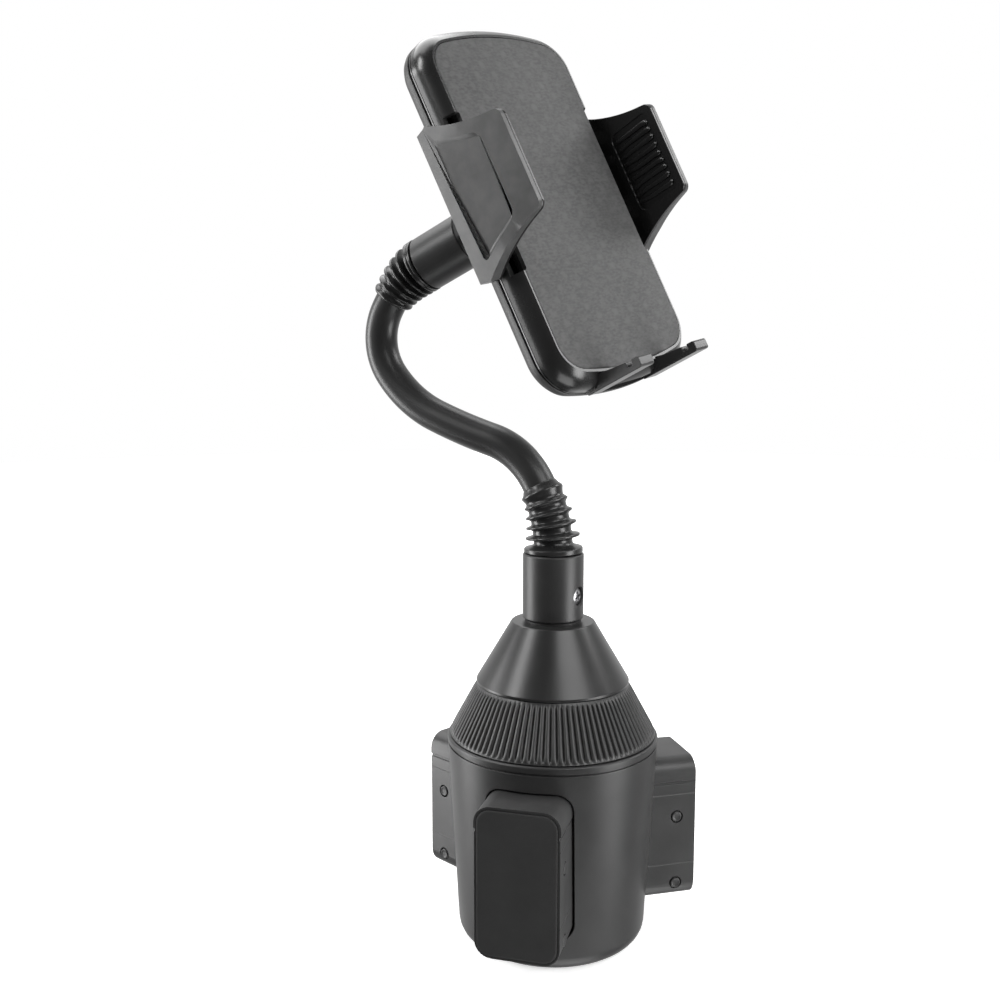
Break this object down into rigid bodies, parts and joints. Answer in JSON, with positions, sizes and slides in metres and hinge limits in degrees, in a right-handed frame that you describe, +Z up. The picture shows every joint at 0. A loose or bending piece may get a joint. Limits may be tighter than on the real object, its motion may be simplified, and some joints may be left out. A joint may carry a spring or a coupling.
{
  "type": "car phone mount",
  "caption": "Cup-holder phone mount: expanding base with spreading legs, flexible gooseneck with finned boots, ball joint, and a padded cradle with geared side jaws and a foot bracket.",
  "frame": {"origin": "centre of the underside of the cup base", "axes": "+Z up; the user faces the mount from -Y, +X to the user's right"},
  "size_m": [0.1078, 0.0898, 0.284],
  "materials": {
    "base_plastic": "satin black moulding",
    "cone_plastic": "smooth glossy black",
    "grip_plastic": "knurled black",
    "leg_plastic": "satin black moulding",
    "leg_rubber": "matte black rubber",
    "boot_rubber": "shiny black rubber",
    "sleeve_rubber": "satin black rubber",
    "inner_plastic": "natural moulding",
    "dark_inner_plastic": "dark moulding",
    "steel": "bright steel",
    "shell_plastic": "satin dark grey",
    "frame_plastic": "piano black",
    "pad_rubber": "finely woven texture",
    "jaw_plastic": "satin mid grey",
    "jaw_rubber": "ribbed rubber",
    "bracket_plastic": "shiny black"
  },
  "bodies": {
    "base": {"can_shell": "base_plastic", "foot_pad": "leg_rubber", "post_screw": "steel", "centre_post": "dark_inner_plastic", "leg_rail_plate": "dark_inner_plastic", "leg_guide_deck": "dark_inner_plastic", "cone_cover": "cone_plastic", "neck_collar": "base_plastic", "collar_screw": "steel", "neck_ferrule": "steel", "neck_core_1": "steel", "neck_sleeve_1": "sleeve_rubber", "lower_boot": "boot_rubber"},
    "expander": {"expander_ring": "grip_plastic", "cam_disc": "inner_plastic"},
    "front_leg": {"leg_front": "leg_plastic", "leg_front_pad": "leg_rubber", "leg_front_pins": "leg_plastic"},
    "right_leg": {"leg_right": "leg_plastic", "leg_right_pad": "leg_rubber", "leg_right_pins": "leg_plastic"},
    "left_leg": {"leg_left": "leg_plastic", "leg_left_pad": "leg_rubber", "leg_left_pins": "leg_plastic"},
    "neck_2": {"neck_core_2": "steel", "neck_sleeve_2": "sleeve_rubber"},
    "neck_3": {"neck_core_3": "steel", "neck_sleeve_3": "sleeve_rubber"},
    "neck_4": {"neck_core_4": "steel", "neck_sleeve_4": "sleeve_rubber"},
    "neck_5": {"neck_core_5": "steel", "neck_sleeve_5": "sleeve_rubber"},
    "neck_6": {"neck_core_6": "steel", "neck_sleeve_6": "sleeve_rubber", "upper_boot": "boot_rubber", "top_collar": "base_plastic", "ball_stud": "steel"},
    "seat": {"ball_seat": "inner_plastic"},
    "socket": {"ball_socket": "base_plastic", "socket_keeper": "steel", "keeper_screw": "steel"},
    "nut": {"lock_nut": "base_plastic"},
    "cradle": {"cradle_back": "shell_plastic", "cradle_frame": "frame_plastic", "cradle_pad": "pad_rubber", "cradle_screws": "steel", "pinion_screw": "steel", "jaw_spring_left": "steel", "jaw_spring_right": "steel", "button_spring": "steel"},
    "right_jaw": {"jaw_right": "jaw_plastic", "jaw_right_pad": "jaw_rubber"},
    "left_jaw": {"jaw_left": "jaw_plastic", "jaw_left_pad": "jaw_rubber"},
    "pinion": {"jaw_pinion": "inner_plastic"},
    "bracket": {"foot_bracket": "bracket_plastic"},
    "button": {"release_button": "shell_plastic"}
  },
  "joints": [
    {"name": "expander_turn", "type": "hinge", "parent": "base", "child": "expander", "pos_m": [0, 0, 0.061], "axis": [0, 0, 1], "range_deg": [-71.6, 45.8]},
    {"name": "front_leg_slide", "type": "slide", "parent": "base", "child": "front_leg", "axis": [-0.2706, -0.9627, 0], "range_m": [-0.0101, 0.0065]},
    {"name": "right_leg_slide", "type": "slide", "parent": "base", "child": "right_leg", "axis": [0.969, 0.247, 0], "range_m": [-0.0101, 0.0065]},
    {"name": "left_leg_slide", "type": "slide", "parent": "base", "child": "left_leg", "axis": [-0.6984, 0.7157, 0], "range_m": [-0.0101, 0.0065]},
    {"name": "neck_bend_1", "type": "hinge", "parent": "base", "child": "neck_2", "pos_m": [-0.00459, 0.00244, 0.14566], "axis": [-0.4695, -0.8829, 0], "range_deg": [-22, 22]},
    {"name": "neck_bend_2", "type": "hinge", "parent": "neck_2", "child": "neck_3", "pos_m": [-0.01914, 0.01018, 0.15898], "axis": [0.236, -0.1255, 0.9636], "range_deg": [-22, 22]},
    {"name": "neck_bend_3", "type": "hinge", "parent": "neck_3", "child": "neck_4", "pos_m": [-0.03736, 0.01987, 0.16599], "axis": [-0.4695, -0.8829, 0], "range_deg": [-22, 22]},
    {"name": "neck_bend_4", "type": "hinge", "parent": "neck_4", "child": "neck_5", "pos_m": [-0.05248, 0.0279, 0.17906], "axis": [0.7024, -0.3735, 0.606], "range_deg": [-22, 22]},
    {"name": "neck_bend_5", "type": "hinge", "parent": "neck_5", "child": "neck_6", "pos_m": [-0.05409, 0.02876, 0.19964], "axis": [-0.4695, -0.8829, 0], "range_deg": [-22, 22]},
    {"name": "ball_tilt", "type": "hinge", "parent": "neck_6", "child": "seat", "pos_m": [-0.01498, 0.00797, 0.22827], "axis": [0.6826, 0.7148, 0.1525], "range_deg": [-14, 14]},
    {"name": "ball_pan", "type": "hinge", "parent": "seat", "child": "socket", "pos_m": [-0.01498, 0.00797, 0.22827], "axis": [-0.3925, 0.1825, 0.9015], "range_deg": [-10, 37]},
    {"name": "cradle_spin", "type": "hinge", "parent": "socket", "child": "cradle", "pos_m": [-0.01498, 0.00797, 0.22827], "axis": [0.6165, -0.6751, 0.4051], "continuous": true},
    {"name": "nut_turn", "type": "hinge", "parent": "socket", "child": "nut", "pos_m": [-0.01498, 0.00797, 0.22827], "axis": [0.6165, -0.6751, 0.4051], "range_deg": [-90, 0]},
    {"name": "right_jaw_slide", "type": "slide", "parent": "cradle", "child": "right_jaw", "axis": [0.6826, 0.7148, 0.1525], "range_m": [0, 0.0165], "deforming": ["jaw_spring_right"]},
    {"name": "left_jaw_slide", "type": "slide", "parent": "cradle", "child": "left_jaw", "axis": [-0.6826, -0.7148, -0.1525], "range_m": [0, 0.0165], "deforming": ["jaw_spring_left"]},
    {"name": "pinion_turn", "type": "hinge", "parent": "cradle", "child": "pinion", "pos_m": [-0.0001, -0.00789, 0.23597], "axis": [0.6165, -0.6751, 0.4051], "range_deg": [0, 198]},
    {"name": "bracket_slide", "type": "slide", "parent": "cradle", "child": "bracket", "axis": [0.3925, -0.1825, -0.9015], "range_m": [0, 0.012]},
    {"name": "button_press", "type": "slide", "parent": "cradle", "child": "button", "axis": [-0.6826, -0.7148, -0.1525], "range_m": [0, 0.0016], "stiffness_N_per_m": 500, "springref_m": -0.003, "deforming": ["button_spring"]}
  ],
  "couplings": [
    {"joint": "front_leg_slide", "follows": "expander_turn", "m_per_rad": 0.008},
    {"joint": "right_leg_slide", "follows": "expander_turn", "m_per_rad": 0.008},
    {"joint": "left_leg_slide", "follows": "expander_turn", "m_per_rad": 0.008},
    {"joint": "left_jaw_slide", "follows": "right_jaw_slide", "ratio": 1},
    {"joint": "pinion_turn", "follows": "right_jaw_slide", "rad_per_m": 208.33}
  ]
}
